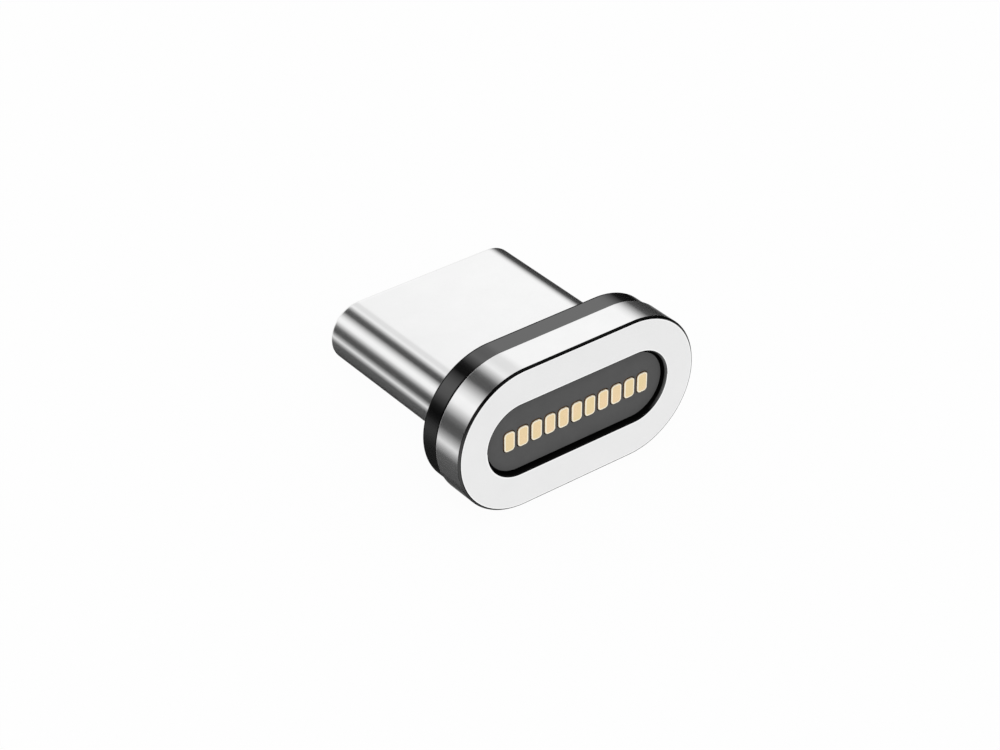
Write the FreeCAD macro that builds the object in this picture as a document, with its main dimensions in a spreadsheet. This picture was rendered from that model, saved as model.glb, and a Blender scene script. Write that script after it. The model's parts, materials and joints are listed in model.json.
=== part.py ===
import FreeCAD, Part
import math
import os
import Sketcher

# Magnetic tip for a charging cable: a plug with an 8.25 x 2.40 mm shell on a flat oval head, whose front
# face has eleven gold pads in a recess inside a plated steel ring.
#
# Every piece is drawn about the tip's own axis: X is the width, Y the thickness and Z the depth, from 0 on
# the magnetic face to the mouth of the plug. A placement common to all of them then lays the tip on a
# surface: the head rests on the collar's rear edge and the plug on the lower edge of its mouth.

V = FreeCAD.Vector
Z_AXIS = V(0, 0, 1)
# how near to a plane or outline an edge lies to count as on it
NEAR = 1e-4
# the least volume that a cut takes away
LEAST_CUT = 1e-6
# the places of the second row that hold no terminal
EMPTY_PLACES = (6, 7)

doc = FreeCAD.newDocument("magnetic_tip")
sheet = doc.addObject("Spreadsheet::Sheet", "dims")

SIZES = [
    # the plug's outline, and how far it stands out of the collar
    ("plug_width", 8.25),
    ("plug_height", 2.40),
    ("plug_reach", 6.89),
    # the steel ring and the recess in its face
    ("ring_width", 10.41),
    ("ring_height", 5.66),
    ("ring_depth", 1.29),
    ("ring_bevel", 0.08),
    ("opening_width", 7.91),
    ("opening_height", 2.82),
    ("opening_bevel", 0.04),
    ("lip_depth", 0.36),
    ("pocket_margin", 0.50),
    # the collar behind the ring
    ("collar_inset", 0.06),
    ("collar_depth", 0.91),
    ("collar_bevel", 0.08),
    ("tail_bay_width", 7.00),
    ("tail_bay_height", 1.60),
    ("shell_seat_depth", 0.70),
    # the insert, its gold pads and the board behind them
    ("insert_depth", 0.185),
    ("insert_gap", 0.135),
    ("insert_bevel", 0.02),
    ("flange_thick", 0.34),
    ("board_thick", 0.40),
    ("pad_count", 11),
    ("pad_pitch", 0.59),
    ("pad_width", 0.46),
    ("pad_height", 0.75),
    ("pad_corner", 0.15),
    ("pad_bevel", 0.05),
    ("pad_proud", 0.045),
    ("pad_gap", 0.03),
    # the plug's shell
    ("shell_wall", 0.25),
    ("mouth_round", 0.12),
    ("mouth_lip", 0.10),
    ("mouth_lip_depth", 0.24),
    ("mouth_inner_bevel", 0.06),
    # the plug's front housing and its slot
    ("housing_sink", 0.12),
    ("housing_back_wall", 0.45),
    ("slot_width", 6.83),
    ("slot_height", 0.80),
    ("slot_depth", 5.00),
    ("slot_corner", 0.12),
    ("slot_lead_in", 0.08),
    # the spring terminals and the two blocks that hold them
    ("terminal_count", 12),
    ("terminal_pitch", 0.50),
    ("terminal_width", 0.24),
    ("terminal_thick", 0.12),
    ("terminal_row", 0.56),
    ("terminal_bend", 0.30),
    ("beam_root", 0.15),
    ("bump_setback", 3.30),
    ("bump_height", 0.32),
    ("tip_length", 0.45),
    ("tip_rise", 0.18),
    ("groove_width", 0.32),
    ("groove_top", 0.76),
    ("groove_run_out", 0.30),
    ("block_depth", 2.00),
    # the latch plate between the rows
    ("plate_thick", 0.20),
    ("arm_width", 0.24),
    ("arm_clear", 0.06),
    ("hook_setback", 2.30),
    ("hook_length", 0.50),
    ("hook_reach", 0.16),
    ("channel_height", 0.44),
    ("channel_front", 1.50),
    # the ground springs behind the mouth
    ("spring_thick", 0.08),
    ("spring_width", 6.00),
    ("spring_strip", 0.45),
    ("spring_front", 0.62),
    ("spring_bend", 0.12),
    ("finger_count", 3),
    ("finger_pitch", 2.10),
    ("finger_width", 1.00),
    ("finger_dip", 0.36),
    ("finger_slope", 0.50),
    ("finger_tail", 0.40),
    ("finger_tail_rise", 0.20),
    ("window_margin", 0.10),
    # clearance between pieces that fit in one another
    ("fit", 0.015),
]


class Size:
    """A length that is both a number and the text of an expression on the sheet."""

    def __init__(self, value, text):
        self.value = value
        self.text = text

    def __add__(self, other):
        other = as_size(other)
        return Size(self.value + other.value, f"({self.text} + {other.text})")

    def __sub__(self, other):
        other = as_size(other)
        return Size(self.value - other.value, f"({self.text} - {other.text})")

    def __mul__(self, other):
        other = as_size(other)
        return Size(self.value * other.value, f"({self.text} * {other.text})")

    def __truediv__(self, other):
        other = as_size(other)
        return Size(self.value / other.value, f"({self.text} / {other.text})")

    def __neg__(self):
        return Size(-self.value, f"(0 - {self.text})")


def as_size(thing):
    return thing if isinstance(thing, Size) else Size(float(thing), f"{float(thing)}")


class Dimensions:
    """The sheet's values, by name."""


d = Dimensions()
for row, (alias, number) in enumerate(SIZES, start=1):
    sheet.set(f"A{row}", alias)
    sheet.set(f"B{row}", str(number))
    sheet.setAlias(f"B{row}", alias)
    setattr(d, alias, Size(number, f"dims.{alias}"))
doc.recompute()

# depths along the axis, from the magnetic face
flange_back = d.lip_depth + d.flange_thick
board_back = flange_back + d.board_thick
head_depth = d.ring_depth + d.collar_depth
shell_root = head_depth - d.shell_seat_depth
mouth = head_depth + d.plug_reach
slot_floor = mouth - d.slot_depth
housing_back = slot_floor - d.housing_back_wall
block_back = housing_back - d.block_depth
bump = mouth - d.bump_setback

# outlines that several pieces share
pocket_width = d.opening_width + d.pocket_margin * 2
pocket_height = d.opening_height + d.pocket_margin * 2
collar_width = d.ring_width - d.collar_inset * 2
collar_height = d.ring_height - d.collar_inset * 2
bore_width = d.plug_width - d.shell_wall * 2
bore_height = d.plug_height - d.shell_wall * 2
mouth_width = bore_width - d.mouth_lip * 2
mouth_height = bore_height - d.mouth_lip * 2
spring_core_width = bore_width - (d.fit + d.spring_thick) * 2
spring_core_height = bore_height - (d.fit + d.spring_thick) * 2
arm_inner = d.slot_width / 2 + d.arm_clear
arm_outer = arm_inner + d.arm_width
plate_half = d.plate_thick / 2
# a level within the slot, from which the cuts that open into it start
slot_quarter = d.slot_height / 4


def bind(thing, prop, size):
    thing.setExpression(prop, as_size(size).text)


def resting_place():
    """Tilt of the axis and the shift that puts the middle of the tip's footprint at the origin."""
    heel_depth = head_depth - d.collar_bevel
    drop = collar_height / 2 - (d.plug_height / 2 - d.mouth_round)
    reach = mouth - d.mouth_round - heel_depth
    span = math.hypot(drop.value, reach.value)
    lean = math.acos(d.mouth_round.value / span) - math.atan2(reach.value, drop.value)
    tilt = Size(
        math.degrees(lean),
        f"(acos({d.mouth_round.text} / hypot({drop.text}; {reach.text})) - atan2({reach.text}; {drop.text}))",
    )
    sine = Size(math.sin(lean), f"sin{tilt.text}")
    cosine = Size(math.cos(lean), f"cos{tilt.text}")
    lowest = collar_height / 2 * cosine + heel_depth * sine
    front = (d.ring_height / 2 - d.ring_bevel) * sine
    back = (mouth - d.mouth_round) * cosine + (d.plug_height / 2 - d.mouth_round) * sine + d.mouth_round
    return tilt, (front - back) / 2, lowest


TILT, SHIFT, LIFT = resting_place()


def new_body(label, across=0):
    """An empty body that lies where the tip rests, moved along its width by across."""
    body = doc.addObject("PartDesign::Body", label)
    body.Label = label
    body.Placement = FreeCAD.Placement(V(), FreeCAD.Rotation(V(1, 0, 0), -90 - TILT.value))
    bind(body, "Placement.Base.x", across)
    bind(body, "Placement.Base.y", SHIFT)
    bind(body, "Placement.Base.z", LIFT)
    body.setExpression("Placement.Rotation.Angle", f"0 deg - 90 deg - {TILT.text}")
    return body


def origin_item(body, role):
    return next(item for item in body.Origin.OriginFeatures if item.Role == role)


def new_sketch(body, name, role="XY_Plane", height=0):
    sketch = body.newObject("Sketcher::SketchObject", name)
    sketch.AttachmentSupport = (origin_item(body, role), "")
    sketch.MapMode = "FlatFace"
    bind(sketch, "AttachmentOffset.Base.z", height)
    return sketch


def measure(sketch, kind, items, size):
    """A dimension of a sketch, bound to a size."""
    index = sketch.addConstraint(Sketcher.Constraint(kind, *items, size.value))
    name = f"{kind}_{index}"
    sketch.renameConstraint(index, name)
    bind(sketch, f"Constraints.{name}", size)


def place_point(sketch, item, corner, x, y):
    """Hold one point of the sketch at x and y from its origin."""
    measure(sketch, "DistanceX", (-1, 1, item, corner), as_size(x))
    measure(sketch, "DistanceY", (-1, 1, item, corner), as_size(y))


def stadium(sketch, width, height):
    """A closed outline about the origin, with two straight sides and full round ends."""
    reach = (width - height) / 2
    radius = height / 2
    c, r = reach.value, radius.value
    quarter = math.pi / 2
    right = sketch.addGeometry(Part.ArcOfCircle(Part.Circle(V(c, 0, 0), Z_AXIS, r), -quarter, quarter))
    top = sketch.addGeometry(Part.LineSegment(V(c, r, 0), V(-c, r, 0)))
    left = sketch.addGeometry(Part.ArcOfCircle(Part.Circle(V(-c, 0, 0), Z_AXIS, r), quarter, 3 * quarter))
    bottom = sketch.addGeometry(Part.LineSegment(V(-c, -r, 0), V(c, -r, 0)))
    ring = [right, top, left, bottom]
    for first, second in zip(ring, ring[1:] + ring[:1]):
        sketch.addConstraint(Sketcher.Constraint("Tangent", first, 2, second, 1))
    sketch.addConstraint(Sketcher.Constraint("Equal", right, left))
    for end in (right, left):
        sketch.addConstraint(Sketcher.Constraint("PointOnObject", end, 3, -1))
    measure(sketch, "DistanceX", (-1, 1, right, 3), reach)
    measure(sketch, "DistanceX", (left, 3, -1, 1), reach)
    measure(sketch, "Radius", (right,), radius)


def run(sketch, corners, closed=True):
    """Straight sides from corner to corner; a corner is (x, y), or (x, y, radius) where it is rounded."""
    places = [V(as_size(corner[0]).value, as_size(corner[1]).value, 0) for corner in corners]
    count = len(corners)
    rounded = [len(corner) == 3 for corner in corners]
    arcs = {}
    ends = {}
    for i, corner in enumerate(corners):
        ends[i] = (places[i], places[i])
        if not rounded[i]:
            continue
        before = (places[i - 1] - places[i]).normalize()
        after = (places[(i + 1) % count] - places[i]).normalize()
        half = before.getAngle(after) / 2
        radius = as_size(corner[2]).value
        reach = radius / math.tan(half)
        centre = places[i] + (before + after).normalize() * (radius / math.sin(half))
        enter = places[i] + before * reach
        leave = places[i] + after * reach
        ends[i] = (enter, leave)
        left_turn = before.cross(after).z < 0
        first, last = (enter, leave) if left_turn else (leave, enter)
        angles = [math.atan2((p - centre).y, (p - centre).x) for p in (first, last)]
        arc = Part.ArcOfCircle(Part.Circle(centre, Z_AXIS, radius), *angles)
        arcs[i] = (sketch.addGeometry(arc), 1 if left_turn else 2)
    sides = {}
    for i in range(count if closed else count - 1):
        j = (i + 1) % count
        sides[i] = sketch.addGeometry(Part.LineSegment(ends[i][1], ends[j][0]))
    for i, corner in enumerate(corners):
        x, y = corner[0], corner[1]
        into = sides.get((i - 1) % count) if closed or i else None
        out = sides.get(i)
        if rounded[i]:
            arc, entry = arcs[i]
            point = sketch.addGeometry(Part.Point(places[i]), True)
            place_point(sketch, point, 1, x, y)
            sketch.addConstraint(Sketcher.Constraint("PointOnObject", point, 1, into))
            sketch.addConstraint(Sketcher.Constraint("PointOnObject", point, 1, out))
            sketch.addConstraint(Sketcher.Constraint("Tangent", into, 2, arc, entry))
            sketch.addConstraint(Sketcher.Constraint("Tangent", arc, 3 - entry, out, 1))
            measure(sketch, "Radius", (arc,), as_size(corner[2]))
        elif out is None:
            place_point(sketch, into, 2, x, y)
        else:
            place_point(sketch, out, 1, x, y)
            if into is not None:
                sketch.addConstraint(Sketcher.Constraint("Coincident", into, 2, out, 1))


def rectangle(sketch, left, right, low, high, corner=None):
    """A closed rectangle, with rounded corners where corner is given."""
    extra = () if corner is None else (corner,)
    run(sketch, [(x, y) + extra for x, y in ((left, low), (right, low), (right, high), (left, high))])


def pad(body, sketch, length, both_ways=False):
    """Material from the sketch along its normal."""
    feature = body.newObject("PartDesign::Pad", f"{sketch.Name}_pad")
    feature.Profile = sketch
    bind(feature, "Length", length)
    feature.SideType = "Symmetric" if both_ways else "One side"
    doc.recompute()
    return feature


def pocket(body, sketch, length, both_ways=False):
    """A cut from the sketch along its normal."""
    feature = body.newObject("PartDesign::Pocket", f"{sketch.Name}_pocket")
    feature.Profile = sketch
    bind(feature, "Length", length)
    feature.SideType = "Symmetric" if both_ways else "One side"
    feature.Reversed = not both_ways
    doc.recompute()
    return feature


def row_of(body, feature, count, pitch):
    """The feature repeated along the width."""
    pattern = body.newObject("PartDesign::LinearPattern", f"{feature.Name}_row")
    pattern.Originals = [feature]
    pattern.Direction = (origin_item(body, "X_Axis"), [""])
    bind(pattern, "Length", pitch * (count - 1))
    bind(pattern, "Occurrences", count)
    body.Tip = pattern
    doc.recompute()
    return pattern


def rim(feature, depth, width=None, height=None):
    """Names of the feature's edges at one depth; with a width and height, those of an opening that size."""
    names = []
    for number, edge in enumerate(feature.Shape.Edges, start=1):
        box = edge.BoundBox
        level = abs(box.ZMin - depth.value) < NEAR and abs(box.ZMax - depth.value) < NEAR
        inside = width is None or (
            max(-box.XMin, box.XMax) < width.value / 2 + NEAR
            and max(-box.YMin, box.YMax) < height.value / 2 + NEAR
        )
        if level and inside:
            names.append(f"Edge{number}")
    return names


def soften(body, feature, edges, size, kind="Fillet"):
    """Round or bevel some edges of the feature."""
    finish = body.newObject(f"PartDesign::{kind}", f"{feature.Name}_{kind.lower()}")
    finish.Base = (feature, edges)
    bind(finish, "Radius" if kind == "Fillet" else "Size", size)
    doc.recompute()
    return finish


def face_ring():
    """Oval steel ring: a front lip round the recess and a wider pocket behind it."""
    body = new_body("face_ring")
    outer = new_sketch(body, "ring_outline")
    stadium(outer, d.ring_width, d.ring_height)
    blank = pad(body, outer, d.ring_depth)
    soften(body, blank, rim(blank, as_size(0)), d.ring_bevel, kind="Chamfer")
    opening = new_sketch(body, "ring_opening")
    stadium(opening, d.opening_width, d.opening_height)
    through = pocket(body, opening, d.ring_depth)
    edges = rim(through, as_size(0), d.opening_width, d.opening_height)
    soften(body, through, edges, d.opening_bevel, kind="Chamfer")
    recess = new_sketch(body, "ring_pocket", height=d.lip_depth)
    stadium(recess, pocket_width, pocket_height)
    pocket(body, recess, d.ring_depth - d.lip_depth)
    return body


def collar():
    """Moulded collar: a boss that closes the ring's pocket, and the socket that holds the shell."""
    body = new_body("collar")
    outer = new_sketch(body, "collar_outline", height=d.ring_depth)
    stadium(outer, collar_width, collar_height)
    blank = pad(body, outer, d.collar_depth)
    soften(body, blank, rim(blank, head_depth), d.collar_bevel, kind="Chamfer")
    boss = new_sketch(body, "collar_boss", height=board_back)
    stadium(boss, pocket_width - d.fit * 2, pocket_height - d.fit * 2)
    pad(body, boss, d.ring_depth - board_back)
    bay = new_sketch(body, "collar_tail_bay", height=board_back)
    stadium(bay, d.tail_bay_width, d.tail_bay_height)
    pocket(body, bay, head_depth - board_back)
    socket = new_sketch(body, "collar_socket", height=shell_root)
    stadium(socket, d.plug_width + d.fit * 2, d.plug_height + d.fit * 2)
    pocket(body, socket, d.shell_seat_depth)
    return body


def pad_carrier():
    """Insert with a raised oval face, a flange behind the ring's lip and a window for each pad."""
    body = new_body("pad_carrier")
    face = new_sketch(body, "carrier_face", height=d.insert_depth)
    stadium(face, d.opening_width - d.insert_gap * 2, d.opening_height - d.insert_gap * 2)
    plateau = pad(body, face, d.lip_depth - d.insert_depth)
    soften(body, plateau, rim(plateau, d.insert_depth), d.insert_bevel, kind="Chamfer")
    flange = new_sketch(body, "carrier_flange", height=d.lip_depth)
    stadium(flange, pocket_width - d.fit * 2, pocket_height - d.fit * 2)
    pad(body, flange, d.flange_thick)
    window = new_sketch(body, "carrier_window", height=d.insert_depth)
    centre = -(d.pad_pitch * (d.pad_count - 1) / 2)
    half_width = d.pad_width / 2 + d.pad_gap
    half_height = d.pad_height / 2 + d.pad_gap
    rectangle(window, centre - half_width, centre + half_width, -half_height, half_height,
              d.pad_corner + d.pad_gap)
    cut = pocket(body, window, flange_back - d.insert_depth)
    row_of(body, cut, d.pad_count, d.pad_pitch)
    return body


def contact_pad(number):
    """One gold pad: a stud from the board to just proud of the insert, bevelled round its face."""
    place = d.pad_pitch * (as_size(number) - (d.pad_count + 1) / 2)
    body = new_body(f"pad_{number:02d}", across=place)
    front = d.insert_depth - d.pad_proud
    outline = new_sketch(body, "pad_outline", height=front)
    rectangle(outline, -(d.pad_width / 2), d.pad_width / 2, -(d.pad_height / 2), d.pad_height / 2,
              d.pad_corner)
    stud = pad(body, outline, flange_back - front)
    soften(body, stud, rim(stud, front), d.pad_bevel, kind="Chamfer")
    return body


def circuit_board():
    """Board between the pads and the terminals' tails."""
    body = new_body("circuit_board")
    outline = new_sketch(body, "board_outline", height=flange_back)
    stadium(outline, pocket_width - d.fit * 2, pocket_height - d.fit * 2)
    pad(body, outline, d.board_thick)
    return body


def plug_shell():
    """Deep-drawn tube, rounded over at its mouth, where a lip keeps the housing in."""
    body = new_body("plug_shell")
    outline = new_sketch(body, "shell_outline", height=shell_root)
    stadium(outline, d.plug_width, d.plug_height)
    blank = pad(body, outline, mouth - shell_root)
    soften(body, blank, rim(blank, mouth), d.mouth_round)
    bore = new_sketch(body, "shell_bore", height=shell_root)
    stadium(bore, bore_width, bore_height)
    pocket(body, bore, mouth - d.mouth_lip_depth - shell_root)
    opening = new_sketch(body, "shell_mouth", height=shell_root)
    stadium(opening, mouth_width, mouth_height)
    through = pocket(body, opening, mouth - shell_root)
    edges = rim(through, mouth, mouth_width, mouth_height)
    soften(body, through, edges, d.mouth_inner_bevel, kind="Chamfer")
    return body


def plug_housing():
    """Front housing: the slot, a groove for each terminal, side channels for the latch arms and windows."""
    body = new_body("plug_housing")
    shoulder = mouth - d.mouth_lip_depth
    outline = new_sketch(body, "housing_outline", height=housing_back)
    stadium(outline, bore_width - d.fit * 2, bore_height - d.fit * 2)
    pad(body, outline, shoulder - housing_back)
    strip_back = d.spring_front + d.spring_strip
    finger_back = strip_back + d.finger_slope + d.finger_tail + d.window_margin
    seat_length = finger_back - d.spring_front + d.window_margin
    seat = new_sketch(body, "spring_seat", height=mouth - finger_back)
    seat_half = d.spring_width / 2 + d.window_margin
    rectangle(seat, -seat_half, seat_half, -(bore_height / 2), bore_height / 2)
    pocket(body, seat, seat_length)
    core = new_sketch(body, "spring_core", height=mouth - finger_back)
    stadium(core, spring_core_width - d.fit * 2, spring_core_height - d.fit * 2)
    pad(body, core, seat_length)
    nose = new_sketch(body, "housing_nose", height=shoulder)
    stadium(nose, mouth_width - d.fit * 2, mouth_height - d.fit * 2)
    pad(body, nose, d.mouth_lip_depth - d.housing_sink)
    slot = new_sketch(body, "housing_slot", height=slot_floor)
    rectangle(slot, -(d.slot_width / 2), d.slot_width / 2, -(d.slot_height / 2), d.slot_height / 2,
              d.slot_corner)
    mouthed = pocket(body, slot, d.slot_depth)
    edges = rim(mouthed, mouth - d.housing_sink, d.slot_width, d.slot_height)
    soften(body, mouthed, edges, d.slot_lead_in, kind="Chamfer")
    first = -(d.terminal_pitch * (d.terminal_count - 1) / 2)
    groove_end = bump + d.tip_length + d.groove_run_out
    for side, word in ((1, "upper"), (-1, "lower")):
        groove = new_sketch(body, f"{word}_groove", height=housing_back)
        rectangle(groove, first - d.groove_width / 2, first + d.groove_width / 2,
                  slot_quarter * side, d.groove_top * side)
        cut = pocket(body, groove, groove_end - housing_back)
        row_of(body, cut, d.terminal_count, d.terminal_pitch)
    for side, word in ((1, "right"), (-1, "left")):
        channel = new_sketch(body, f"{word}_channel", height=housing_back)
        rectangle(channel, (d.slot_width / 2 - d.arm_clear) * side, (arm_outer + d.arm_clear) * side,
                  -(d.channel_height / 2), d.channel_height / 2)
        pocket(body, channel, mouth - d.channel_front - housing_back)
    middle = -(d.finger_pitch * (d.finger_count - 1) / 2)
    reach = d.finger_width / 2 + d.window_margin
    for side, word in ((1, "upper"), (-1, "lower")):
        window = new_sketch(body, f"{word}_spring_window", height=mouth - finger_back)
        rectangle(window, middle - reach, middle + reach, slot_quarter * side, bore_height / 2 * side)
        cut = pocket(body, window, finger_back - strip_back)
        row_of(body, cut, d.finger_count, d.finger_pitch)
    return body


def terminal_block(word, side):
    """One moulded row behind the housing, with a channel for each terminal."""
    body = new_body(f"{word}_terminal_block")
    outline = new_sketch(body, "block_outline", height=block_back)
    stadium(outline, bore_width - d.fit * 2, bore_height - d.fit * 2)
    pad(body, outline, d.block_depth)
    other_half = new_sketch(body, "block_other_half", height=block_back)
    rectangle(other_half, -(d.plug_width / 2), d.plug_width / 2,
              (plate_half + d.fit) * side, d.plug_height / 2 * -side)
    pocket(body, other_half, d.block_depth)
    channel = new_sketch(body, "block_channel", height=block_back)
    first = -(d.terminal_pitch * (d.terminal_count - 1) / 2)
    half_width = d.terminal_width / 2 + d.fit
    half_thick = d.terminal_thick / 2 + d.fit
    rectangle(channel, first - half_width, first + half_width,
              d.terminal_row * side - half_thick, d.terminal_row * side + half_thick)
    cut = pocket(body, channel, d.block_depth)
    row_of(body, cut, d.terminal_count, d.terminal_pitch)
    return body


def terminal(row, number, side):
    """Spring terminal: a straight tail from the board, then a beam that dips to its bump and turns up."""
    place = d.terminal_pitch * (as_size(number) - (d.terminal_count + 1) / 2)
    body = new_body(f"terminal_{row}{number:02d}", across=place)
    section = new_sketch(body, "terminal_section", height=board_back)
    half = d.terminal_thick / 2
    rectangle(section, -(d.terminal_width / 2), d.terminal_width / 2,
              d.terminal_row * side - half, d.terminal_row * side + half)
    path = new_sketch(body, "terminal_path", role="YZ_Plane")
    root = slot_floor + d.beam_root
    run(path, [
        (d.terminal_row * side, board_back),
        (d.terminal_row * side, root, d.terminal_bend),
        (d.bump_height * side, bump, d.terminal_bend),
        ((d.bump_height + d.tip_rise) * side, bump + d.tip_length),
    ], closed=False)
    strip(body, section, path)
    return body


def strip(body, section, path):
    """A section carried along a path, as a bent strip of sheet."""
    feature = body.newObject("PartDesign::AdditivePipe", f"{path.Name}_strip")
    feature.Profile = section
    feature.Spine = path
    doc.recompute()
    return feature


def latch_plate():
    """Flat steel plate between the rows, with an arm and an inward hook on each side of the slot."""
    body = new_body("latch_plate")
    outline = new_sketch(body, "latch_outline", role="XZ_Plane")
    hook_front = mouth - d.hook_setback + d.hook_length
    hook_top = mouth - d.hook_setback
    hook_back = hook_top - d.hook_length
    half = [
        (arm_inner, housing_back),
        (arm_inner, hook_back),
        (arm_inner - d.hook_reach, hook_top),
        (arm_inner, hook_front),
        (arm_outer, hook_front),
        (arm_outer, block_back),
    ]
    mirrored = [(-x, y) for x, y in reversed(half)]
    run(outline, half + mirrored)
    pad(body, outline, d.plate_thick, both_ways=True)
    return body


def ground_spring(word, side):
    """Strip that follows the bore behind the mouth, with fingers that dip through the housing's windows."""
    body = new_body(f"{word}_ground_spring")
    level = bore_height / 2 - d.fit - d.spring_thick / 2
    front = mouth - d.spring_front
    strip_back = front - d.spring_strip
    base = new_sketch(body, "spring_base", height=strip_back)
    rectangle(base, -(d.spring_width / 2), d.spring_width / 2, plate_half * side, d.plug_height / 2 * side)
    pad(body, base, d.spring_strip)
    outside = new_sketch(body, "spring_outside", height=strip_back)
    rectangle(outside, -d.plug_width, d.plug_width, -d.plug_height, d.plug_height)
    stadium(outside, bore_width - d.fit * 2, bore_height - d.fit * 2)
    pocket(body, outside, d.spring_strip)
    inside = new_sketch(body, "spring_inside", height=strip_back)
    stadium(inside, spring_core_width, spring_core_height)
    pocket(body, inside, d.spring_strip)
    half = d.spring_thick / 2
    middle = -(d.finger_pitch * (d.finger_count - 1) / 2)
    section = new_sketch(body, "finger_section", height=strip_back)
    rectangle(section, middle - d.finger_width / 2, middle + d.finger_width / 2,
              level * side - half, level * side + half)
    path = new_sketch(body, "finger_path", role="YZ_Plane", height=middle)
    dip = strip_back - d.finger_slope
    run(path, [
        (level * side, strip_back),
        (level * side, strip_back - d.spring_bend),
        (d.finger_dip * side, dip, d.spring_bend),
        ((d.finger_dip + d.finger_tail_rise) * side, dip - d.finger_tail),
    ], closed=False)
    finger = strip(body, section, path)
    row_of(body, finger, d.finger_count, d.finger_pitch)
    return body


B_ROW = [number for number in range(1, int(d.terminal_count.value) + 1) if number not in EMPTY_PLACES]

pieces = [face_ring(), collar(), pad_carrier(), circuit_board()]
pieces += [contact_pad(number) for number in range(1, int(d.pad_count.value) + 1)]
pieces += [plug_shell(), plug_housing(), latch_plate()]
for word, side in (("upper", 1), ("lower", -1)):
    pieces += [terminal_block(word, side), ground_spring(word, side)]
pieces += [terminal("a", number, 1) for number in range(1, int(d.terminal_count.value) + 1)]
pieces += [terminal("b", number, -1) for number in B_ROW]
doc.recompute()

for item in doc.Objects:
    if "Invalid" in item.State or "Error" in item.State:
        raise RuntimeError(f"{item.Label} did not recompute: {item.State}")
    if item.TypeId == "PartDesign::Pocket" and item.Shape.Volume > item.BaseFeature.Shape.Volume - LEAST_CUT:
        raise RuntimeError(f"{item.Label} cuts nothing")
for piece in pieces:
    if piece.Shape.isNull() or not piece.Shape.isValid() or len(piece.Shape.Solids) != 1:
        raise RuntimeError(f"{piece.Label} is not one valid solid")

os.makedirs("parts", exist_ok=True)
for piece in pieces:
    piece.Shape.exportStep(f"parts/{piece.Label}.step")
print(len(pieces), "pieces; tilt", round(TILT.value, 2), "degrees")
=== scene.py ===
import json
import math

import bmesh
import bpy
from mathutils import Matrix, Vector
from mathutils.geometry import tessellate_polygon


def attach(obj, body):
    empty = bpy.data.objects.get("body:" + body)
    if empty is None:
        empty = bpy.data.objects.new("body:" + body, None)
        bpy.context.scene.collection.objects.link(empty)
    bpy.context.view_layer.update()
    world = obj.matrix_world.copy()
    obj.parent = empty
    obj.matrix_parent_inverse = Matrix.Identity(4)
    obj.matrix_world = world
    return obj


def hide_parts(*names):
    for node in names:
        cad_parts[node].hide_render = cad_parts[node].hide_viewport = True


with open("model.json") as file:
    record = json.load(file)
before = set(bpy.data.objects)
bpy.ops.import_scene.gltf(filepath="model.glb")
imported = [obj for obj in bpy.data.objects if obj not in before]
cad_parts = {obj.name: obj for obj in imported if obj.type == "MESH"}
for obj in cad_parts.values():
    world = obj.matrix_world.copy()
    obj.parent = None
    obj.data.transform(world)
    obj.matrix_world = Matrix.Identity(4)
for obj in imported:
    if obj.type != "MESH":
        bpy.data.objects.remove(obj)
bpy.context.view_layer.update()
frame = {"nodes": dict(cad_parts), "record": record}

MM = 0.001

# The tip's own axes in the frame
mounts = {mount["name"]: mount for mount in frame["record"]["mounts"]}
plug_place = Vector(mounts["plug"]["pos_m"])
face_place = Vector(mounts["magnetic_face"]["pos_m"])
AXIS = Vector(mounts["plug"]["axis"]).normalized()
ACROSS = Vector((1, 0, 0))
UP = ACROSS.cross(AXIS)
ORIGIN = plug_place - AXIS * (plug_place - face_place).dot(AXIS)
TILT = math.atan2(-AXIS.z, AXIS.y)

# Sizes in millimetres, where an oval has half its straight side, FLAT, and the RADIUS of its round ends
RING_FLAT = 2.375
RING_RADIUS = 2.825
RING_BACK = 1.29
BEVEL_DEPTH = 0.08
BEVEL_WIDTH = 0.062
# The face lies this deep, which keeps the lower corner of the narrow bevel inside the solid's box.
FACE_DEPTH = 0.005
OPENING_FLAT = 2.545
OPENING_RADIUS = 1.41
OPENING_BEVEL = 0.04
LIP_DEPTH = 0.36
POCKET_RADIUS = 1.91
POCKET_GAP = 0.015
# Strips of the ring: a painted dark line along the bevel and along the upper half of the opening, a
# painted highlight beside each, and a painted highlight along the edge at the back
BEVEL_LINE = 0.024
OPENING_LINE = 0.015
HIGHLIGHT_STRIP = 0.035
BACK_EDGE = 0.018

COLLAR_FLAT = 2.365
COLLAR_RADIUS = 2.765
COLLAR_FRONT = 1.10
COLLAR_BACK = 2.20
COLLAR_BEVEL = 0.08
COLLAR_EDGE = 0.05
COLLAR_GAP = 0.002
BORE_FLAT = 2.70
BORE_RADIUS = 0.80

PLUG_FLAT = 2.925
PLUG_RADIUS = 1.20
PLUG_GAP = 0.015
PLUG_HELD = 0.70
MOUTH = 9.09
MOUTH_ROUND = 0.12
SHELL_INSIDE = 0.95
ROLL_INSIDE = 0.85
ROLL_CHAMFER = 0.06
ROLL_LENGTH = 0.24

PAD_PITCH = 0.59
PAD_COUNT = 11
PAD_SHIFT = (0.032, -0.024)
PAD_WIDTH = 0.46
PAD_HEIGHT = 0.795
PAD_CORNER = 0.15
PAD_LEAST_CORNER = 0.02
PAD_FACE = 0.165
# How far in from its outline, and how far behind its face, the rounded edge of a pad runs
PAD_CROWN = ((0.0, 0.025), (0.002, 0.014), (0.008, 0.005), (0.018, 0.0), (0.060, 0.0))

INSERT_DEPTH = 0.21
INSERT_RADIUS = 1.31
FLANGE_BACK = 0.70
WINDOW_GAP = 0.03

# Roundings of sharp corners, and the size above which a rounding is a form that shows
ROUND = 0.012
CRISP = 0.006
LARGE_ROUND = 0.1
# The share of a side that a small or a large rounding may take, and the steps in it
SMALL_LIMITS = (0.42, 4)
LARGE_LIMITS = (0.85, 10)
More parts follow.
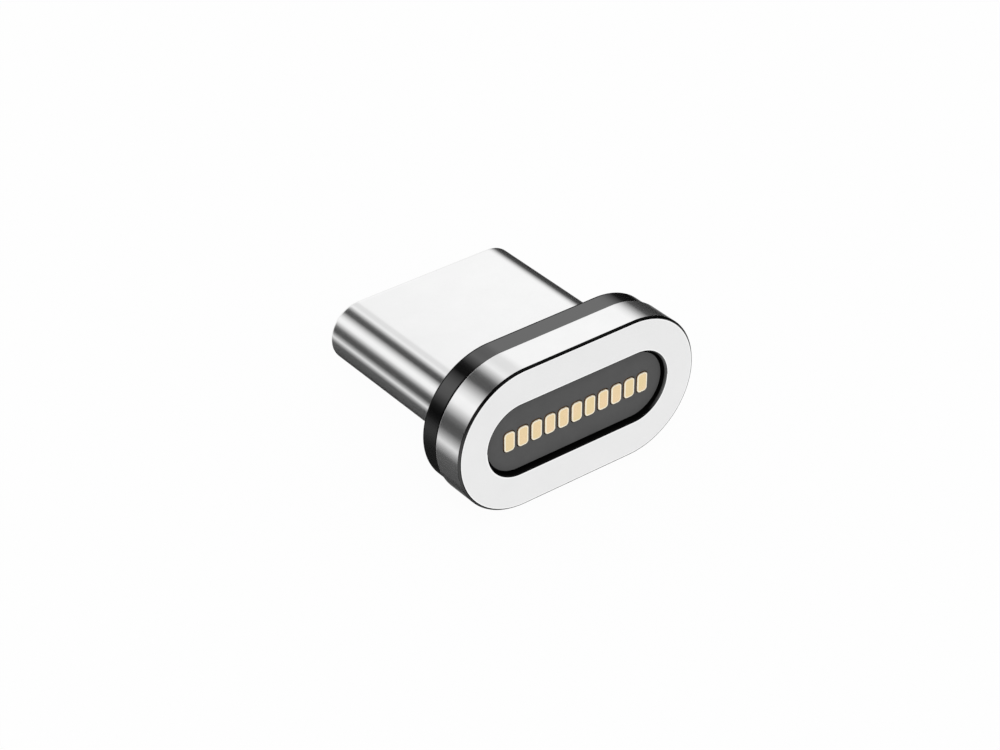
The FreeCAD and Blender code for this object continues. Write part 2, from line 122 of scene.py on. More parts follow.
# The loop that holds a flat side lies this many roundings from the corner, or at this share of the rest
# of the side where that is nearer.
SUPPORT_REACH = 1.8
SUPPORT_SHARE = 0.4
# The weight of a corner that makes the rounding of a right angle a true arc
ARC_WEIGHT = math.sqrt(0.5)
# Edges of the insert that turn more than this stay sharp.
SHARP_TURN = math.radians(30)

# How finely the meshes are cut: points in half a turn, places along a side, steps in a pad's corner
ARC = 72
STRAIGHT = (0.0, 0.012, 0.06, 0.2, 0.4, 0.6, 0.8, 0.94, 0.988)
PAD_CORNER_STEPS = 8

# Margins within which a face counts as lying on a surface
TOUCH = 0.0005
NARROW = 0.005
WIDE = 0.02


def place(across, depth, height):
    """A point of the frame from millimetres in the tip's axes, with depth 0 at the magnetic face."""
    return ORIGIN + (ACROSS * across + AXIS * depth + UP * height) * MM


def tip_place(point):
    """Across, depth and height of a point of the frame."""
    offset = (point - ORIGIN) / MM
    return offset.dot(ACROSS), offset.dot(AXIS), offset.dot(UP)


# Meshes
def stadium(flat, radius, depth):
    """One oval loop: the right round end from below, the top side, the left end, the bottom side."""
    points = []
    for side in (1, -1):
        for step in range(ARC):
            angle = math.pi * (step / ARC - 0.5)
            across = flat + radius * math.cos(angle)
            points.append(place(across * side, depth, radius * math.sin(angle) * side))
        for part in STRAIGHT:
            points.append(place(flat * (1 - 2 * part) * side, depth, radius * side))
    return points


def toward(here, corner):
    """The way from a profile's point to a corner, per millimetre of the section, and its length there."""
    step = Vector(corner[:3]) - here
    length = math.hypot(step.y, step.z)
    return step / length, length


def support(reach, length):
    """How far from a corner the loop lies that holds the flat side beside its rounding."""
    return min(reach * SUPPORT_REACH, reach + (length - reach) * SUPPORT_SHARE)


def rounded(corners):
    """A profile's corners (flat, radius, depth, round) as points. A corner with a round of 0 stays one."""
    points = []
    for number, corner in enumerate(corners):
        here = Vector(corner[:3])
        size = corner[3]
        if size == 0:
            points.append(here)
            continue
        back, back_length = toward(here, corners[number - 1])
        ahead, ahead_length = toward(here, corners[(number + 1) % len(corners)])
        share, steps = LARGE_LIMITS if size > LARGE_ROUND else SMALL_LIMITS
        reach = min(size, share * back_length, share * ahead_length)
        start = here + back * reach
        end = here + ahead * reach
        points.append(here + back * support(reach, back_length))
        for step in range(steps + 1):
            t = step / steps
            weight = 2 * (1 - t) * t * ARC_WEIGHT
            total = (1 - t) ** 2 + weight + t * t
            points.append((start * (1 - t) ** 2 + here * weight + end * t * t) / total)
        points.append(here + ahead * support(reach, ahead_length))
    return points


def band(near, far, size):
    """The faces between two loops of a size, whose first points have the indices near and far."""
    return [(near + k, near + (k + 1) % size, far + (k + 1) % size, far + k) for k in range(size)]


def solid(name, verts, faces):
    mesh = bpy.data.meshes.new(name)
    mesh.from_pydata([tuple(v) for v in verts], [], faces)
    mesh.validate()
    mesh.update()
    mesh.shade_smooth()
    thing = bpy.data.objects.new(name, mesh)
    bpy.context.scene.collection.objects.link(thing)
    turn_outward(mesh)
    return thing


def turn_outward(mesh):
    work = bmesh.new()
    work.from_mesh(mesh)
    bmesh.ops.recalc_face_normals(work, faces=work.faces)
    work.to_mesh(mesh)
    work.free()


def skin(name, profile):
    """A smooth closed mesh through the oval loops of a profile."""
    verts = []
    for flat, radius, depth in profile:
        verts += stadium(flat, radius, depth)
    size = 2 * (ARC + len(STRAIGHT))
    faces = []
    for number in range(len(profile)):
        faces += band(number * size, (number + 1) % len(profile) * size, size)
    return solid(name, verts, faces)


# Materials
# The range of a noise's values that colours and roughness follow
NOISE_RANGE = (0.3, 0.7)
# Noise scales are per metre, and relief heights are in metres.
METAL_PATCHES = (900, 900, 900)
METAL_RELIEF = 0.000002
PLASTIC_PATCHES = (1500, 1500, 1500)
PLASTIC_RELIEF = 0.000004


def new_material(name):
    material = bpy.data.materials.new(name)
    material.use_nodes = True
    nodes = material.node_tree.nodes
    return material, nodes, material.node_tree.links, nodes["Principled BSDF"]


def combine(nodes, links, operation, first, second):
    """A Math node on a socket and on a second socket or number."""
    made = nodes.new("ShaderNodeMath")
    made.operation = operation
    links.new(first, made.inputs[0])
    if isinstance(second, float):
        made.inputs[1].default_value = second
    else:
        links.new(second, made.inputs[1])
    return made.outputs[0]


def between(nodes, links, factor, first, second):
    """A colour from first to second by a factor, where each of the two is a socket or a grey."""
    made = nodes.new("ShaderNodeMix")
    made.data_type = "RGBA"
    links.new(factor, made.inputs["Factor"])
    for colour, entry in ((first, made.inputs["A"]), (second, made.inputs["B"])):
        if isinstance(colour, float):
            entry.default_value = (colour, colour, colour, 1)
        else:
            links.new(colour, entry)
    return made.outputs["Result"]


def spread(nodes, links, value, low, high, start=NOISE_RANGE[0], end=NOISE_RANGE[1]):
    """A value between start and end carried to the range from low to high."""
    made = nodes.new("ShaderNodeMapRange")
    made.inputs["From Min"].default_value = start
    made.inputs["From Max"].default_value = end
    made.inputs["To Min"].default_value = low
    made.inputs["To Max"].default_value = high
    links.new(value, made.inputs["Value"])
    return made.outputs["Result"]


def tip_coordinates(nodes, links, scale):
    """Object coordinates turned to the tip's axes and stretched by scale."""
    source = nodes.new("ShaderNodeTexCoord")
    turn = nodes.new("ShaderNodeMapping")
    turn.inputs["Rotation"].default_value = (TILT, 0, 0)
    stretch = nodes.new("ShaderNodeMapping")
    stretch.inputs["Scale"].default_value = scale
    links.new(source.outputs["Object"], turn.inputs["Vector"])
    links.new(turn.outputs["Vector"], stretch.inputs["Vector"])
    return stretch.outputs["Vector"]


def tip_sockets(nodes, links):
    """Across, depth and height of the shaded point in millimetres, as three sockets."""
    shift = nodes.new("ShaderNodeVectorMath")
    shift.operation = "SUBTRACT"
    shift.inputs[1].default_value = [ORIGIN.dot(way) / MM for way in (ACROSS, AXIS, UP)]
    links.new(tip_coordinates(nodes, links, (1 / MM,) * 3), shift.inputs[0])
    split = nodes.new("ShaderNodeSeparateXYZ")
    links.new(shift.outputs["Vector"], split.inputs["Vector"])
    return split.outputs["X"], split.outputs["Y"], split.outputs["Z"]


def noise(nodes, links, scale, detail):
    made = nodes.new("ShaderNodeTexNoise")
    made.inputs["Scale"].default_value = 1.0
    made.inputs["Detail"].default_value = detail
    made.inputs["Roughness"].default_value = 0.55
    links.new(tip_coordinates(nodes, links, scale), made.inputs["Vector"])
    return made.outputs["Fac"]


def tint(nodes, links, value, low, high):
    """A value from a noise as a colour between low and high."""
    ramp = nodes.new("ShaderNodeValToRGB")
    for stop, position, colour in zip(ramp.color_ramp.elements, NOISE_RANGE, (low, high)):
        stop.position = position
        stop.color = (*colour, 1)
    links.new(value, ramp.inputs["Fac"])
    return ramp.outputs["Color"]


def relief(nodes, links, shader, value, strength, distance, after=None):
    made = nodes.new("ShaderNodeBump")
    made.inputs["Strength"].default_value = strength
    made.inputs["Distance"].default_value = distance
    links.new(value, made.inputs["Height"])
    if after is not None:
        links.new(after, made.inputs["Normal"])
    links.new(made.outputs["Normal"], shader.inputs["Normal"])
    return made.outputs["Normal"]


def metal(name, low, high, rough, grain, streak, strength, haze=0.0):
    """Plated or drawn metal: colour and roughness vary a little over a fine grain and faint long lines."""
    material, nodes, links, shader = new_material(name)
    shader.inputs["Metallic"].default_value = 1.0 - haze
    broad = noise(nodes, links, METAL_PATCHES, detail=2.0)
    links.new(tint(nodes, links, broad, low, high), shader.inputs["Base Color"])
    fine = noise(nodes, links, (grain, grain, grain), detail=4.0)
    links.new(spread(nodes, links, fine, rough[0], rough[1]), shader.inputs["Roughness"])
    lines = noise(nodes, links, streak, detail=2.0)
    first = relief(nodes, links, shader, fine, strength * 0.5, METAL_RELIEF)
    relief(nodes, links, shader, lines, strength, METAL_RELIEF, after=first)
    return material


def plastic(name, low, high, rough, grain, strength, ior=1.5):
    """Moulded plastic, or a dark or brown coat of painted shade on a metal or plastic, with a fine grain.
    """
    material, nodes, links, shader = new_material(name)
    shader.inputs["IOR"].default_value = ior
    broad = noise(nodes, links, PLASTIC_PATCHES, detail=3.0)
    links.new(tint(nodes, links, broad, low, high), shader.inputs["Base Color"])
    fine = noise(nodes, links, (grain, grain, grain), detail=3.0)
    links.new(spread(nodes, links, fine, rough[0], rough[1]), shader.inputs["Roughness"])
    relief(nodes, links, shader, fine, strength, PLASTIC_RELIEF)
    return material


def grey(level):
    return (level, level, level)


def satin_below(material, top, bottom, extra):
    """Add roughness to a material: none above the height top, and extra below bottom."""
    nodes, links = material.node_tree.nodes, material.node_tree.links
    roughness = nodes["Principled BSDF"].inputs["Roughness"]
    height = tip_sockets(nodes, links)[2]
    rise = spread(nodes, links, height, extra, 0.0, start=bottom, end=top)
    links.new(combine(nodes, links, "ADD", roughness.links[0].from_socket, rise), roughness)


def painted_shade_by_height(material, low, high, bottom, top):
    """Let a material's shine grow from low at the height bottom to high at the height top: painted shade
    on the lower side.
    """
    nodes, links = material.node_tree.nodes, material.node_tree.links
    height = tip_sockets(nodes, links)[2]
    level = spread(nodes, links, height, low, high, start=bottom, end=top)
    links.new(level, nodes["Principled BSDF"].inputs["Specular IOR Level"])


def painted_shade_beside_ring(material, front, back, low, high):
    """Take a material's shine: all of it up to the depth front and height low, none past back or high.
    This paints shade beside the ring.
    """
    nodes, links = material.node_tree.nodes, material.node_tree.links
    shine = nodes["Principled BSDF"].inputs["Specular IOR Level"]
    level = shine.links[0].from_socket
    _, depth, height = tip_sockets(nodes, links)
    near = spread(nodes, links, depth, 1, 0, start=front, end=back)
    below = spread(nodes, links, height, 1, 0, start=low, end=high)
    shade = combine(nodes, links, "MULTIPLY", near, below)
    left_over = spread(nodes, links, shade, 1, 0, start=0, end=1)
    links.new(combine(nodes, links, "MULTIPLY", level, left_over), shine)


def lighten(nodes, links, share, level):
    """Carry the base colour of a material towards a grey by a share from 0 to 1."""
    base = nodes["Principled BSDF"].inputs["Base Color"]
    links.new(between(nodes, links, share, base.links[0].from_socket, level), base)


def painted_reflection_at_right(material, level, start, end, depth, blend):
    """Lighten a black wall towards the tip's right end, in front of a depth: a painted reflection on
    painted shade.
    """
    nodes, links = material.node_tree.nodes, material.node_tree.links
    across, behind, _ = tip_sockets(nodes, links)
    right = spread(nodes, links, across, 0, 1, start=start, end=end)
    front = spread(nodes, links, behind, 1, 0, start=depth - blend, end=depth + blend)
    lighten(nodes, links, combine(nodes, links, "MULTIPLY", right, front), level)


def painted_reflection_below(material, level, top, bottom):
    """Lighten a dark material from the height top down to bottom, as a painted reflection that is lighter
    low down.
    """
    nodes, links = material.node_tree.nodes, material.node_tree.links
    height = tip_sockets(nodes, links)[2]
    lighten(nodes, links, spread(nodes, links, height, 1, 0, start=bottom, end=top), level)


ring_side = metal("ring_nickel_polished", grey(0.92), grey(0.94), (0.09, 0.12),
                  9000, (1500, 12000, 1500), 0.002, haze=0.06)
# The bevel's base colour is nearly black: a painted dark reflection, lightened low down below.
bevel_painted_reflection = metal("ring_nickel_bevel_painted_reflection", grey(0.006), grey(0.009), (0.10, 0.14),
                   9000, (1500, 12000, 1500), 0.004)
painted_reflection_below(bevel_painted_reflection, 0.070, top=2.2, bottom=0.3)
ring_face = metal("ring_nickel_satin", grey(0.875), grey(0.890), (0.28, 0.32),
                  16000, (2500, 30000, 30000), 0.010, haze=0.04)
# A lighter copy of the ring's nickel: a painted highlight on strips of the face and along the back edge.
edge_painted_highlight = metal("ring_nickel_painted_highlight", grey(0.97), grey(0.99), (0.20, 0.26),
                  9000, (1500, 12000, 1500), 0.004, haze=0.04)
# Black on the opening's wall and on the dark lines of the face: painted shade, lightened at the right end
# by a painted reflection.
recess_painted_shade = plastic("ring_recess_painted_shade", grey(0.001), grey(0.002), (0.5, 0.6),
                      22000, 0.05, ior=1.2)
painted_reflection_at_right(recess_painted_shade, 0.12, start=3.25, end=3.8, depth=0.105, blend=0.015)
shell_steel = metal("shell_steel_drawn", grey(0.92), grey(0.94), (0.09, 0.12),
                    9000, (26000, 500, 26000), 0.006, haze=0.06)
collar_black = plastic("collar_gloss_black", grey(0.002), grey(0.003), (0.06, 0.09),
                       14000, 0.012, ior=1.85)
satin_below(collar_black, top=1.25, bottom=0.65, extra=0.20)
# Painted shade: the collar shines less low down.
painted_shade_by_height(collar_black, 0.17, 0.60, bottom=0.4, top=2.75)
# Painted shade: no shine in a strip beside the ring, except near the top.
painted_shade_beside_ring(collar_black, front=1.40, back=1.44, low=2.35, high=2.70)
# A duller black for the collar's strip against the ring and for its back edge: painted shade.
collar_painted_shade = plastic("collar_edge_painted_shade", grey(0.001), grey(0.002), (0.45, 0.55), 14000, 0.012, ior=1.3)
insert_grey = plastic("insert_matt_grey", grey(0.096), grey(0.106), (0.55, 0.68), 22000, 0.06, ior=1.3)
# The insert's sides, back and flange in black: painted shade in the groove round the insert.
insert_painted_shade = plastic("insert_side_painted_shade", grey(0.002), grey(0.003), (0.6, 0.7), 22000, 0.05, ior=1.2)
housing_black = plastic("housing_glass_filled_black", (0.016, 0.016, 0.017), (0.026, 0.026, 0.027),
                        (0.35, 0.5), 18000, 0.15)
board_green = plastic("board_solder_mask", (0.015, 0.085, 0.040), (0.025, 0.12, 0.055),
                      (0.3, 0.4), 9000, 0.05)
pad_gold = metal("pad_gold_satin", (0.84, 0.69, 0.38), (0.92, 0.69, 0.45), (0.25, 0.36),
                 20000, (60000, 60000, 6000), 0.08)
# A lighter gold on each pad's rounded edge: a painted highlight.
pad_painted_highlight = metal("pad_gold_painted_highlight", (0.98, 0.89, 0.70), (1.0, 0.92, 0.74), (0.22, 0.30),
                20000, (60000, 60000, 6000), 0.03, haze=0.05)
# Brown on the pads' sides and on the window walls round them: painted shade in the gaps.
pad_painted_shade = plastic("pad_side_painted_shade", (0.20, 0.100, 0.037), (0.24, 0.125, 0.050),
                   (0.5, 0.6), 20000, 0.05)
terminal_gold = metal("terminal_gold_bright", (0.86, 0.62, 0.26), (0.92, 0.70, 0.34), (0.16, 0.24),
                      20000, (60000, 6000, 60000), 0.08)
spring_steel = metal("spring_steel_stamped", grey(0.58), grey(0.66), (0.24, 0.34),
                     14000, (60000, 4000, 4000), 0.10)


# The smooth pieces
def dress(piece, node_names, materials, choose):
    """Hang a piece in the frame, and give each of its faces the material that choose names."""
    for material in materials:
        piece.data.materials.append(material)
    for polygon in piece.data.polygons:
        polygon.material_index = materials.index(choose(polygon))
    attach(piece, "root")
    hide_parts(*node_names)


def from_middle_line(across, height, flat):
    """Distance from the middle line of an oval with this half straight side."""
    return math.hypot(max(abs(across) - flat, 0), height)


def ring():
    face_outside = RING_RADIUS - BEVEL_WIDTH
    face_inside = OPENING_RADIUS + OPENING_BEVEL
    profile = rounded([
        (RING_FLAT, RING_RADIUS, RING_BACK, CRISP),
        (RING_FLAT, RING_RADIUS, RING_BACK - BACK_EDGE, 0),
        (RING_FLAT, RING_RADIUS, BEVEL_DEPTH, CRISP),
        (RING_FLAT, face_outside, FACE_DEPTH, 0),
        (RING_FLAT, face_outside - BEVEL_LINE, FACE_DEPTH, 0),
        (RING_FLAT, face_outside - BEVEL_LINE - HIGHLIGHT_STRIP, FACE_DEPTH, 0),
        (OPENING_FLAT, face_inside + OPENING_LINE + HIGHLIGHT_STRIP, FACE_DEPTH, 0),
        (OPENING_FLAT, face_inside + OPENING_LINE, FACE_DEPTH, 0),
        (OPENING_FLAT, face_inside, FACE_DEPTH, 0),
        (OPENING_FLAT, OPENING_RADIUS, OPENING_BEVEL, ROUND),
        (OPENING_FLAT, OPENING_RADIUS, LIP_DEPTH, ROUND),
        (OPENING_FLAT, POCKET_RADIUS, LIP_DEPTH, ROUND),
        (OPENING_FLAT, POCKET_RADIUS, RING_BACK, ROUND),
    ])

    def choose(polygon):
        across, depth, height = tip_place(polygon.center)
        outer = from_middle_line(across, height, RING_FLAT)
        inner = from_middle_line(across, height, OPENING_FLAT)
        if depth < FACE_DEPTH + TOUCH:
            past_outer_line = outer - (face_outside - BEVEL_LINE)
            past_inner_line = face_inside + OPENING_LINE - inner
            # Painted dark lines by the bevel and the opening's upper half, painted highlights beside them.
            if past_outer_line > 0 or (past_inner_line > 0 and height > 0):
                return recess_painted_shade
            return edge_painted_highlight if max(past_outer_line, past_inner_line) > -HIGHLIGHT_STRIP else ring_face
        # The bevel: a painted dark reflection.
        if outer > face_outside - WIDE and depth < BEVEL_DEPTH + NARROW:
            return bevel_painted_reflection
        # The back edge: a painted highlight.
        if outer > RING_RADIUS - WIDE and depth > RING_BACK - BACK_EDGE:
            return edge_painted_highlight
        # The opening's wall: painted shade.
        if inner < face_inside + NARROW and depth < LIP_DEPTH + NARROW:
            return recess_painted_shade
        return ring_side

    dress(skin("plated_ring", profile), ["face_ring"],
          [ring_side, ring_face, bevel_painted_reflection, edge_painted_highlight, recess_painted_shade], choose)


def collar():
    back_edge = COLLAR_BACK - COLLAR_BEVEL - COLLAR_EDGE
    pocket_radius = POCKET_RADIUS - POCKET_GAP
    profile = rounded([
        (COLLAR_FLAT, COLLAR_RADIUS, RING_BACK + COLLAR_GAP, ROUND),
        (COLLAR_FLAT, COLLAR_RADIUS, RING_BACK + COLLAR_EDGE, 0),
        (COLLAR_FLAT, COLLAR_RADIUS, back_edge, 0),
        (COLLAR_FLAT, COLLAR_RADIUS, COLLAR_BACK - COLLAR_BEVEL, CRISP),
        (COLLAR_FLAT, COLLAR_RADIUS - COLLAR_BEVEL, COLLAR_BACK, CRISP),
        (PLUG_FLAT, PLUG_RADIUS + PLUG_GAP, COLLAR_BACK, ROUND),
        (PLUG_FLAT, PLUG_RADIUS + PLUG_GAP, COLLAR_BACK - PLUG_HELD, ROUND),
        (BORE_FLAT, BORE_RADIUS, COLLAR_BACK - PLUG_HELD, ROUND),
        (BORE_FLAT, BORE_RADIUS, COLLAR_FRONT, ROUND),
        (OPENING_FLAT, pocket_radius, COLLAR_FRONT, ROUND),
        (OPENING_FLAT, pocket_radius, RING_BACK + COLLAR_GAP, ROUND),
    ])

    def choose(polygon):
        depth = tip_place(polygon.center)[1]
        # Painted shade on the strip against the ring and on the back edge.
        return collar_painted_shade if depth < RING_BACK + COLLAR_EDGE or depth > back_edge else collar_black

    dress(skin("moulded_collar", profile), ["collar"],
          [collar_black, collar_painted_shade], choose)


def shell():
    profile = rounded([
        (PLUG_FLAT, PLUG_RADIUS, COLLAR_BACK - PLUG_HELD, ROUND),
        (PLUG_FLAT, PLUG_RADIUS, MOUTH, MOUTH_ROUND),
        (PLUG_FLAT, ROLL_INSIDE + ROLL_CHAMFER, MOUTH, ROUND),
        (PLUG_FLAT, ROLL_INSIDE, MOUTH - ROLL_CHAMFER, ROUND),
        (PLUG_FLAT, ROLL_INSIDE, MOUTH - ROLL_LENGTH, ROUND),
        (PLUG_FLAT, SHELL_INSIDE, MOUTH - ROLL_LENGTH, ROUND),
        (PLUG_FLAT, SHELL_INSIDE, COLLAR_BACK - PLUG_HELD, ROUND),
    ])
    dress(skin("drawn_shell", profile), ["plug_shell"],
          [shell_steel], lambda polygon: shell_steel)


def pad_centre(number):
    """Across of the pad with a number from 1, before the shift of the row."""
    return PAD_PITCH * (number - (PAD_COUNT + 1) / 2)


def pad_loop(centre, inset, depth):
    """A pad's outline, drawn in by inset, or a window's, with an inset below 0."""
    half_width = PAD_WIDTH / 2 - inset
    half_height = PAD_HEIGHT / 2 - inset
    radius = max(PAD_CORNER - inset, PAD_LEAST_CORNER)
    points = []
    for across_side, height_side, start in ((1, 1, 0), (-1, 1, 90), (-1, -1, 180), (1, -1, 270)):
        for step in range(PAD_CORNER_STEPS + 1):
            angle = math.radians(start + 90 * step / PAD_CORNER_STEPS)
            across = centre + (half_width - radius) * across_side + radius * math.cos(angle)
            height = (half_height - radius) * height_side + radius * math.sin(angle)
            points.append(place(PAD_SHIFT[0] + across, depth, PAD_SHIFT[1] + height))
    return points


def pad(number):
    """A stamped stud: its foot behind the insert, its sides, the rounded edge and the flat face."""
    levels = [(0.0, FLANGE_BACK)] + [(inset, PAD_FACE + drop) for inset, drop in PAD_CROWN]
    verts = []
    for inset, depth in levels:
        verts += pad_loop(pad_centre(number), inset, depth)
    size = 4 * (PAD_CORNER_STEPS + 1)
    last = (len(levels) - 1) * size
    faces = []
    for first in range(0, last, size):
        faces += band(first, first + size, size)
    faces.append(tuple(range(last, last + size)))
    faces.append(tuple(range(size - 1, -1, -1)))

    def choose(polygon):
        # The sides: painted shade.
        if polygon.index < size:
            return pad_painted_shade
        # The rounded edge: a painted highlight.
        return pad_painted_highlight if polygon.index < last else pad_gold

    dress(solid(f"gold_pad_{number:02d}", verts, faces), [f"pad_{number:02d}"],
          [pad_gold, pad_painted_highlight, pad_painted_shade], choose)


def insert():
    """The raised oval face with its windows, the flange behind it and the walls between them."""
    flange_radius = POCKET_RADIUS - POCKET_GAP
    outside = [stadium(OPENING_FLAT, radius, depth) for radius, depth in (
        (INSERT_RADIUS - CRISP, INSERT_DEPTH),
        (INSERT_RADIUS, INSERT_DEPTH + CRISP),
        (INSERT_RADIUS, LIP_DEPTH),
        (flange_radius, LIP_DEPTH),
        (flange_radius, FLANGE_BACK),
    )]
    tubes = [outside]
    for number in range(1, PAD_COUNT + 1):
        centre = pad_centre(number)
        tubes.append([pad_loop(centre, -WINDOW_GAP, depth) for depth in (INSERT_DEPTH, FLANGE_BACK)])
    verts = []
    starts = []
    for tube in tubes:
        starts.append([])
        for loop in tube:
            starts[-1].append(len(verts))
            verts += loop

    def cap(level):
        """The flat face at the first level, 0, or the last, -1, with the windows as its holes."""
        rims = [tube[level] for tube in tubes]
        indices = []
        for tube_starts, rim in zip(starts, rims):
            indices += range(tube_starts[level], tube_starts[level] + len(rim))
        flat = [[(point - ORIGIN) / MM for point in rim] for rim in rims]
        return [tuple(indices[k] for k in corner) for corner in tessellate_polygon(flat)]

    walls = []
    for tube_starts, tube in zip(starts, tubes):
        walls.append([])
        for near, far in zip(tube_starts, tube_starts[1:]):
            walls[-1] += band(near, far, len(tube[0]))
    front = cap(0)
    sides = cap(-1) + walls[0]
    window_walls = [face for faces in walls[1:] for face in faces]

    def choose(polygon):
        if polygon.index < len(front):
            return insert_grey
        # The sides and flange take painted shade, the window walls the pads' painted shade.
        return insert_painted_shade if polygon.index < len(front) + len(sides) else pad_painted_shade

    piece = solid("pad_insert", verts, front + sides + window_walls)
    piece.data.set_sharp_from_angle(angle=SHARP_TURN)
    dress(piece, ["pad_carrier"], [insert_grey, insert_painted_shade, pad_painted_shade], choose)


def finish_packed_nodes():
    """Give the inner pieces, whose shapes stay as packed, their materials."""
    for name, item in frame["nodes"].items():
        if name == "circuit_board":
            finish = board_green
        elif name in ("plug_housing", "upper_terminal_block", "lower_terminal_block"):
            finish = housing_black
        elif name.startswith("terminal_"):
            finish = terminal_gold
        elif name == "latch_plate" or name.endswith("ground_spring"):
            finish = spring_steel
        else:
            continue
        for material_slot in item.material_slots:
            material_slot.material = finish


# Floor, light and camera
FLOOR_REACH = 0.6
# The share of a camera ray that sees the floor as plain white. The rest shows the shadow.
FLOOR_WHITE = 0.96


def lay_floor():
    mesh = bpy.data.meshes.new("studio_floor")
    corners = [(-FLOOR_REACH, -FLOOR_REACH, 0), (FLOOR_REACH, -FLOOR_REACH, 0),
               (FLOOR_REACH, FLOOR_REACH, 0), (-FLOOR_REACH, FLOOR_REACH, 0)]
    mesh.from_pydata(corners, [], [(0, 1, 2, 3)])
    floor = bpy.data.objects.new("studio_floor", mesh)
    bpy.context.scene.collection.objects.link(floor)
    paint, nodes, links, shader = new_material("studio_floor_white")
    shader.inputs["Base Color"].default_value = (*grey(0.92), 1)
    shader.inputs["Roughness"].default_value = 1.0
    shader.inputs["Specular IOR Level"].default_value = 0.0
    white = nodes.new("ShaderNodeEmission")
    white.inputs["Color"].default_value = (*grey(1), 1)
    white.inputs["Strength"].default_value = 1.0
    rays = nodes.new("ShaderNodeLightPath")
    mixer = nodes.new("ShaderNodeMixShader")
    share = combine(nodes, links, "MULTIPLY", rays.outputs["Is Camera Ray"], FLOOR_WHITE)
    links.new(share, mixer.inputs["Fac"])
    links.new(shader.outputs["BSDF"], mixer.inputs[1])
    links.new(white.outputs["Emission"], mixer.inputs[2])
    links.new(mixer.outputs["Shader"], nodes["Material Output"].inputs["Surface"])
    mesh.materials.append(paint)
    floor.visible_glossy = False


# What the metal mirrors: soft boxes and dark flags run along the tip, so the surround changes with the
# angle round the tip's axis. Angle 0 is above the tip, 90 its left side, -90 its right side.
BEHIND = [
    (-180, 0.02), (-166, 0.03), (-150, 0.14), (-138, 0.16), (-126, 0.34), (-116, 0.08), (-106, 0.01),
    (-88, 0.02), (-76, 0.05), (-66, 0.40), (-56, 0.80), (-45, 1.03), (-34, 0.80), (-22, 0.78), (-11, 0.92),
    (-2, 0.48), (6, 0.10), (12, 0.04), (21, 0.04), (29, 0.38), (39, 0.78), (49, 0.98), (60, 0.92),
    (69, 0.54), (79, 0.12), (88, 0.03), (99, 0.05), (109, 0.36), (119, 0.78), (129, 0.34), (139, 0.07),
    (160, 0.05),
]
IN_FRONT = [
    (-180, 0.40), (-162, 0.95), (-138, 0.97), (-124, 0.97), (-110, 0.50), (-92, 0.12), (-76, 0.08),
    (-66, 0.42), (-56, 0.80), (-45, 0.95), (-34, 0.80), (-22, 0.78), (-11, 0.90), (-2, 0.70), (6, 0.45),
    (12, 0.36), (21, 0.36), (29, 0.50), (39, 0.78), (49, 0.95), (60, 0.92), (69, 0.60), (79, 0.35),
    (88, 0.40), (98, 0.80), (120, 0.92), (150, 0.92), (180, 0.40),
]
# Levels of the surround at the far end of the tip, and for the light that falls on matt surfaces
FAR_END = 0.93
SOFT_LIGHT = 0.80
# How far along the axis a direction points where the front gives way to what is behind, and that to the
# far end
FRONT_TO_BEHIND = (-0.30, 0.20)
BEHIND_TO_FAR_END = (0.72, 0.82)


def surround(nodes, links, turns, stops):
    """The level at a part of a turn, with straight lines between the stops."""
    ramp = nodes.new("ShaderNodeValToRGB")
    ramp.color_ramp.interpolation = "LINEAR"
    elements = ramp.color_ramp.elements
    while len(elements) > 1:
        elements.remove(elements[-1])
    for number, (degrees, level) in enumerate(stops):
        position = (degrees + 180) / 360
        stop = elements[0] if number == 0 else elements.new(position)
        stop.position = position
        stop.color = (*grey(level), 1)
    links.new(turns, ramp.inputs["Fac"])
    return ramp.outputs["Color"]


def soft_step(nodes, links, value, start, end):
    """A value carried to 0 up to start and to 1 from end, with a smooth rise between them."""
    made = nodes.new("ShaderNodeMapRange")
    made.interpolation_type = "SMOOTHSTEP"
    made.inputs["From Min"].default_value = start
    made.inputs["From Max"].default_value = end
    links.new(value, made.inputs["Value"])
    return made.outputs["Result"]


def light_room():
    world = bpy.data.worlds.new("studio")
    bpy.context.scene.world = world
    world.use_nodes = True
    world.cycles.sampling_method = "NONE"
    nodes, links = world.node_tree.nodes, world.node_tree.links
    nodes.clear()
    way = nodes.new("ShaderNodeTexCoord")
    turn = nodes.new("ShaderNodeMapping")
    turn.inputs["Rotation"].default_value = (TILT, 0, 0)
    links.new(way.outputs["Generated"], turn.inputs["Vector"])
    split = nodes.new("ShaderNodeSeparateXYZ")
    links.new(turn.outputs["Vector"], split.inputs["Vector"])
    along = split.outputs["Y"]
    left = combine(nodes, links, "MULTIPLY", split.outputs["X"], -1.0)
    angle = combine(nodes, links, "ARCTAN2", left, split.outputs["Z"])
    turns = spread(nodes, links, angle, 0, 1, start=-math.pi, end=math.pi)

    behind = soft_step(nodes, links, along, *FRONT_TO_BEHIND)
    around = between(nodes, links, behind, surround(nodes, links, turns, IN_FRONT),
                     surround(nodes, links, turns, BEHIND))
    far = soft_step(nodes, links, along, *BEHIND_TO_FAR_END)
    mirrored = between(nodes, links, far, around, FAR_END)

    rays = nodes.new("ShaderNodeLightPath")
    plain = between(nodes, links, rays.outputs["Is Camera Ray"], SOFT_LIGHT, 1.0)
    background = nodes.new("ShaderNodeBackground")
    seen = between(nodes, links, rays.outputs["Is Glossy Ray"], plain, mirrored)
    links.new(seen, background.inputs["Color"])
    output = nodes.new("ShaderNodeOutputWorld")
    links.new(background.outputs["Background"], output.inputs["Surface"])


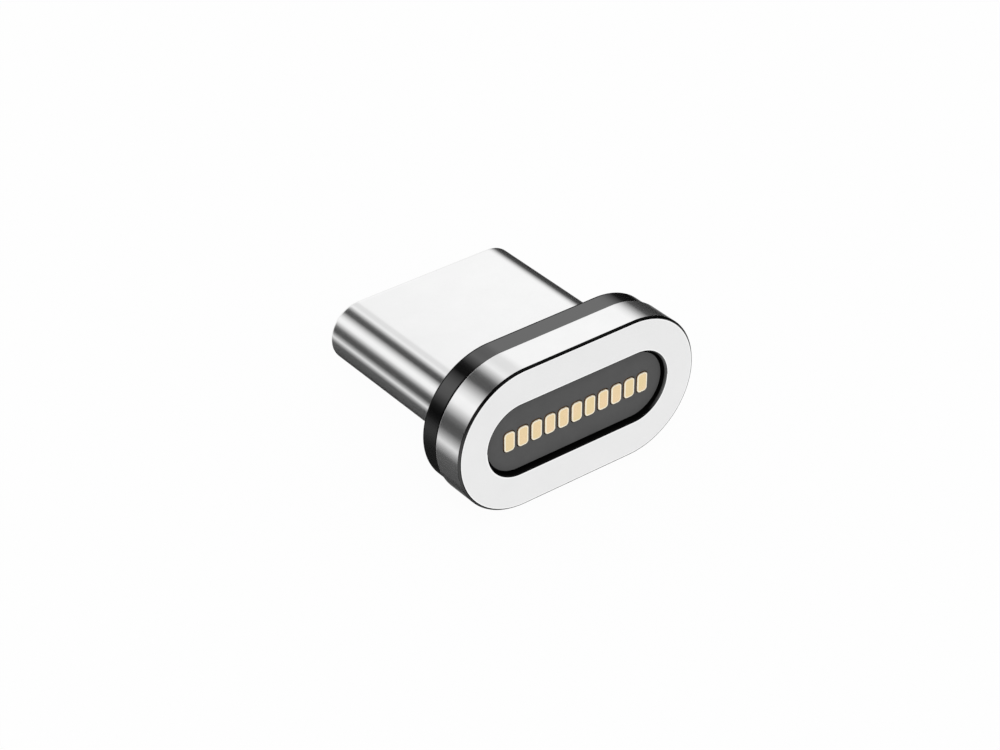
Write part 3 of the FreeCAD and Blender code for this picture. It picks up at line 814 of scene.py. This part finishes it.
def hang_lamp():
    """A weak round soft box, above and to the left, for the shadow on the floor."""
    data = bpy.data.lights.new("soft_box", "AREA")
    data.shape = "DISK"
    data.size = 0.12
    data.energy = 0.012
    lamp = bpy.data.objects.new("soft_box", data)
    bpy.context.scene.collection.objects.link(lamp)
    lamp.location = (-0.05, -0.04, 0.12)
    lamp.rotation_euler = (-lamp.location).to_track_quat("-Z", "Y").to_euler()
    lamp.visible_glossy = False


# The camera, fitted to the photograph in the tip's own axes: its heading, height and roll, the middle of
# the magnetic face as seen from it in millimetres, and the focal length in pixels
HEADING = math.radians(-37.86)
HEIGHT = math.radians(33.93)
ROLL = math.radians(0.056)
SEEN_AT = Vector((2.7373, -1.3282, -90.894))
FOCAL_PIXELS = 2637.9
IMAGE_WIDTH = 1000
SENSOR = 36


def in_frame(way):
    """A direction in the tip's axes as one in the frame."""
    return ACROSS * way.x + AXIS * way.y + UP * way.z


def set_camera():
    level_right = Vector((math.cos(HEADING), math.sin(HEADING), 0))
    level = math.cos(HEIGHT)
    back = Vector((math.sin(HEADING) * level, -math.cos(HEADING) * level, math.sin(HEIGHT)))
    level_up = back.cross(level_right)
    right = level_right * math.cos(ROLL) + level_up * math.sin(ROLL)
    upward = level_up * math.cos(ROLL) - level_right * math.sin(ROLL)
    stand = -(right * SEEN_AT.x + upward * SEEN_AT.y + back * SEEN_AT.z)
    data = bpy.data.cameras.new("camera")
    data.sensor_width = SENSOR
    data.lens = SENSOR * FOCAL_PIXELS / IMAGE_WIDTH
    data.clip_start = 0.001
    data.clip_end = 10
    camera = bpy.data.objects.new("camera", data)
    bpy.context.scene.collection.objects.link(camera)
    turn = Matrix((in_frame(right), in_frame(upward), in_frame(back))).transposed().to_4x4()
    camera.matrix_world = Matrix.Translation(place(*stand)) @ turn
    bpy.context.scene.camera = camera


ring()
collar()
shell()
for number in range(1, PAD_COUNT + 1):
    pad(number)
insert()
finish_packed_nodes()
lay_floor()
light_room()
hang_lamp()
set_camera()
bpy.context.scene.view_settings.view_transform = "Standard"
